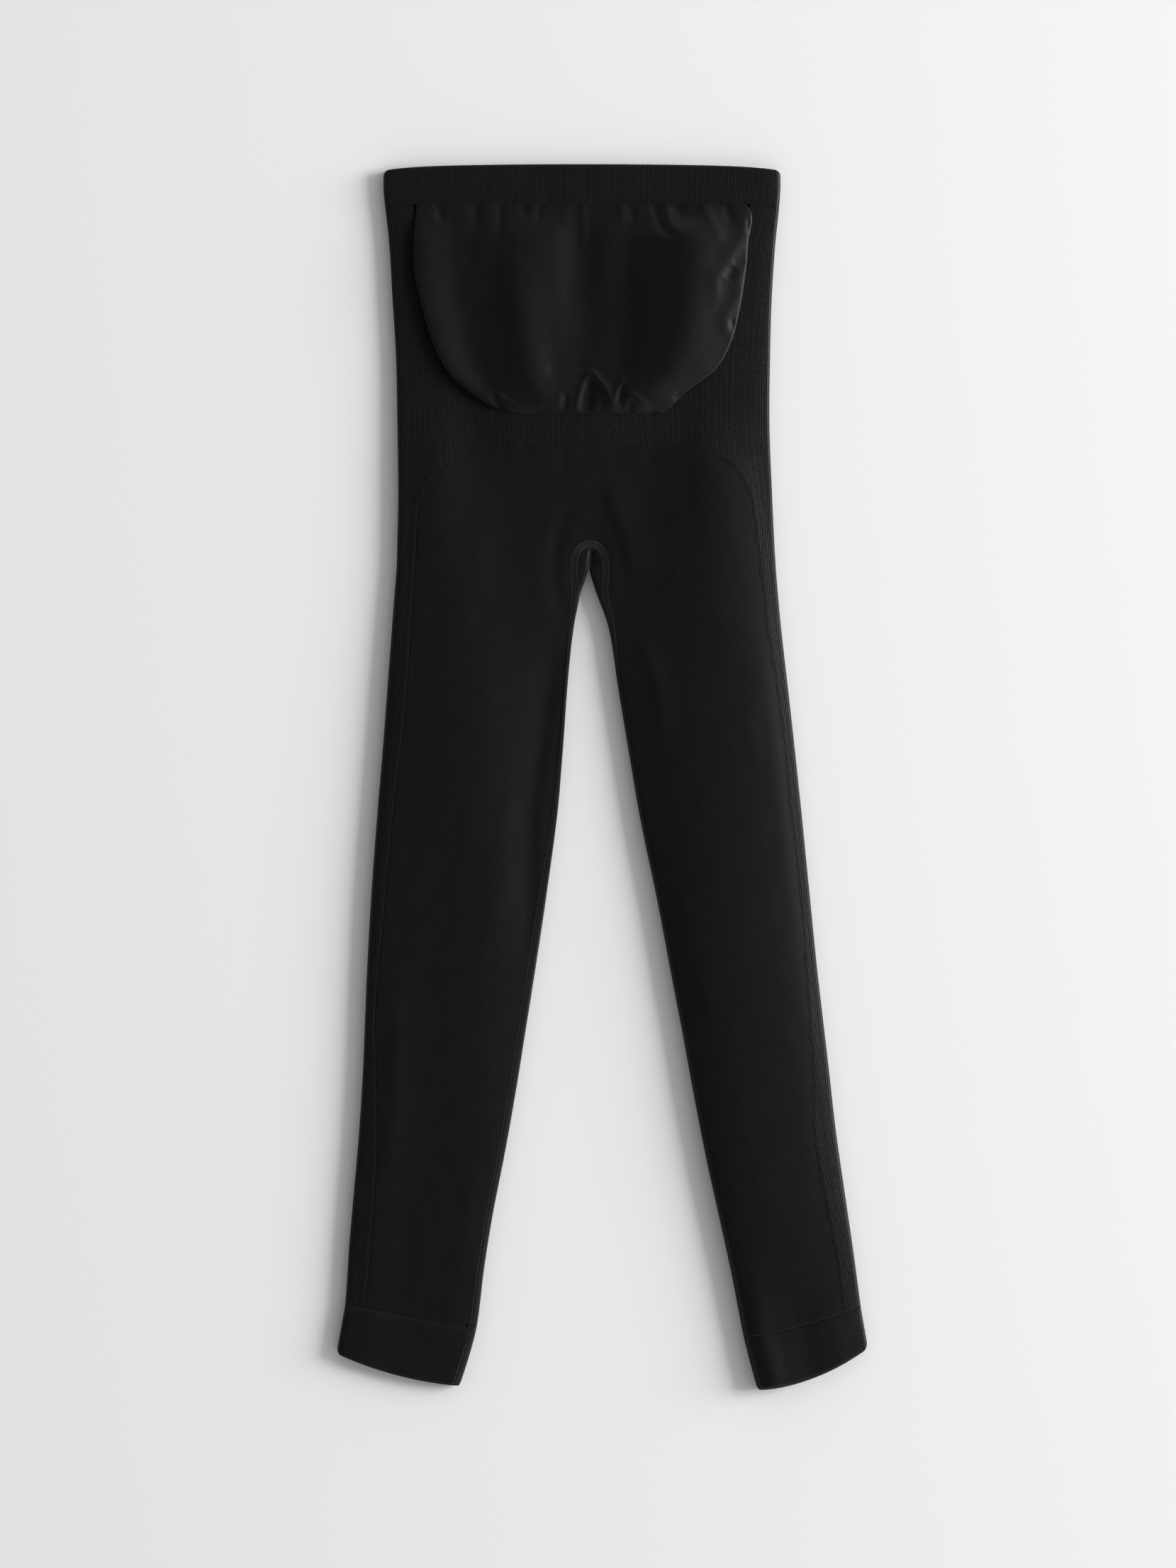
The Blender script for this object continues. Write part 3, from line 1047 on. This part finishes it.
def makeStitchTree():
    tree, inputs = startTree("flatlockRun", ("Pitch", "Float", 0.0019), ("Stitch", "Object", None),
                             ("Thread", "Material", None), ("Wander", "Float", 0.05), ("Seed", "Int", 7))
    nodes, link = tree.nodes, tree.links.new
    toCurve = nodes.new("GeometryNodeMeshToCurve")
    resample = nodes.new("GeometryNodeResampleCurve")
    resample.mode = "LENGTH"
    tangent = nodes.new("GeometryNodeInputTangent")
    alongX = nodes.new("FunctionNodeAlignRotationToVector")
    alongX.axis = "X"
    faceZ = nodes.new("FunctionNodeAlignRotationToVector")
    faceZ.axis = "Z"
    faceZ.pivot_axis = "X"
    template = nodes.new("GeometryNodeObjectInfo")
    place = nodes.new("GeometryNodeInstanceOnPoints")
    vary = nodes.new("FunctionNodeRandomValue")
    vary.data_type = "FLOAT"
    link(inputs.outputs["Seed"], vary.inputs["Seed"])
    size = mathIn(tree)("MULTIPLY_ADD", vary.outputs["Value"], inputs.outputs["Wander"], flatlock["smallest"])
    link(inputs.outputs["Geometry"], toCurve.inputs["Mesh"])
    link(toCurve.outputs[0], resample.inputs["Curve"])
    link(inputs.outputs["Pitch"], resample.inputs["Length"])
    link(tangent.outputs[0], alongX.inputs["Vector"])
    link(alongX.outputs[0], faceZ.inputs["Rotation"])
    link(attributeIn(tree, "outward", "FLOAT_VECTOR"), faceZ.inputs["Vector"])
    link(inputs.outputs["Stitch"], template.inputs["Object"])
    link(resample.outputs[0], place.inputs["Points"])
    link(template.outputs["Geometry"], place.inputs["Instance"])
    link(faceZ.outputs[0], place.inputs["Rotation"])
    link(size, place.inputs["Scale"])
    return endTree(tree, place.outputs[0], inputs.outputs["Thread"])


def makeFlatlock():
    middle = (flatlock["columns"] - 1) / 2
    runs = [seamPath((k - middle) * flatlock["apart"]) for k in range(flatlock["columns"])]
    spots, outs = (np.vstack([run[i] for run in runs]) for i in (0, 1))
    each = len(spots) // len(runs)
    mesh = bpy.data.meshes.new("flatlockSeam")
    verts = np.stack([spots[:, 0], garment["length"] / 2 - spots[:, 1], spots[:, 2]], 1) * mm
    mesh.from_pydata(verts.tolist(), [(i, i + 1) for i in range(len(verts) - 1) if (i + 1) % each], [])
    outward = mesh.attributes.new("outward", "FLOAT_VECTOR", "POINT")
    outward.data.foreach_set("vector", outs.astype(np.float32).reshape(-1))
    seam = addObject("flatlockSeam", mesh)
    stitch = makeStitch()
    applyTree(seam, makeStitchTree(), {"Pitch": flatlock["pitch"] * mm, "Stitch": stitch,
                                       "Thread": seamThread, "Wander": flatlock["wander"], "Seed": 7})
    bpy.data.objects.remove(stitch)
    cut = seam.data.uv_layers.new(name="cut")
    places = np.empty(len(seam.data.vertices) * 3, np.float32)
    seam.data.vertices.foreach_get("co", places)
    corners = np.empty(len(seam.data.loops), np.int32)
    seam.data.loops.foreach_get("vertex_index", corners)
    cut.data.foreach_set("uv", places.reshape(-1, 3)[corners, :2].reshape(-1))
    return seam


flatlockSeam = makeFlatlock()
print("flatlock ready")


def declare(piece, nodes):
    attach(piece, "root")
    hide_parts(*nodes)


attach(flatlockSeam, "root")
declare(waistbandRib, ["waistband"])
declare(ribHips, ["rib_front", "rib_back"])
declare(ribSideLeft, ["side_rib_left"])
declare(ribSideRight, ["side_rib_right"])
declare(jerseyLegs, ["front_yoke", "seat", "leg_left", "leg_right"])
declare(gussetJersey, ["gusset"])
declare(bellyPouch, ["belly_panel"])
declare(cuffLeft, ["cuff_left"])
declare(cuffRight, ["cuff_right"])


ground = {"size": 14.0, "down": 0.0004, "colour": (0.86, 0.855, 0.855, 1), "roughness": 0.95, "gloss": 0.05}


def makeFloor():    # just under the lowest ribs and threads
    shape = bmesh.new()
    bmesh.ops.create_grid(shape, x_segments=2, y_segments=2, size=ground["size"])
    mesh = bpy.data.meshes.new("floor")
    shape.to_mesh(mesh)
    shape.free()
    floor = addObject("floor", mesh)
    floor.location.z = -ground["down"]
    paper = bpy.data.materials.new("paper")
    paper.use_nodes = True
    skin = paper.node_tree.nodes["Principled BSDF"]
    skin.inputs["Base Color"].default_value = ground["colour"]
    skin.inputs["Roughness"].default_value = ground["roughness"]
    skin.inputs["Specular IOR Level"].default_value = ground["gloss"]
    mesh.materials.append(paper)


light = {"power": 905, "distance": 7.0, "elevation": 15, "turn": 10, "size": (3.2, 2.6),
         "sky": 4.9, "skyFall": 2.0, "skyLean": 0.37}


def makeSky():    # a white studio: bright low down, dark straight above, a little more from the right
    sky = bpy.data.worlds.new("studio")
    sky.use_nodes = True
    nodes, link = sky.node_tree.nodes, sky.node_tree.links.new
    calc = mathIn(sky.node_tree)
    spot, split = nodes.new("ShaderNodeTexCoord"), nodes.new("ShaderNodeSeparateXYZ")
    link(spot.outputs["Generated"], split.inputs[0])
    low = calc("SUBTRACT", 1, split.outputs["Z"])
    low.node.use_clamp = True
    lean = calc("MULTIPLY_ADD", split.outputs["X"], light["skyLean"], 1 - light["skyLean"])
    both = calc("MULTIPLY", calc("POWER", low, light["skyFall"]), lean)
    link(calc("MULTIPLY", both, light["sky"]), nodes["Background"].inputs["Strength"])
    nodes["Background"].inputs["Color"].default_value = (1, 0.998, 0.999, 1)
    bpy.context.scene.world = sky


def addLight(name, place, size, power):
    softbox = bpy.data.lights.new(name, "AREA")
    softbox.shape = "RECTANGLE"
    softbox.size, softbox.size_y = size
    softbox.energy = power
    lamp = addObject(name, softbox)
    lamp.location = place
    lamp.rotation_euler = (-place).to_track_quat("-Z", "Y").to_euler()    # towards the middle of the garment
    lamp.visible_camera = False


makeFloor()
rise, turn = math.radians(light["elevation"]), math.radians(light["turn"])
towards = Vector((math.cos(rise) * math.cos(turn), math.cos(rise) * math.sin(turn), math.sin(rise)))
addLight("keySoftbox", towards * light["distance"], light["size"], light["power"])
makeSky()
print("floor and light ready")

view = {"height": 3.2, "tall": 1.2166, "x": -0.011, "y": -0.0052, "sensor": 36}
camera = addObject("overhead", bpy.data.cameras.new("overhead"))
camera.data.sensor_fit = "VERTICAL"
camera.data.sensor_height = view["sensor"]
camera.data.lens = view["sensor"] * view["height"] / view["tall"]
camera.location = (view["x"], view["y"], view["height"])
bpy.context.scene.camera = camera
bpy.context.scene.view_settings.view_transform = "Standard"
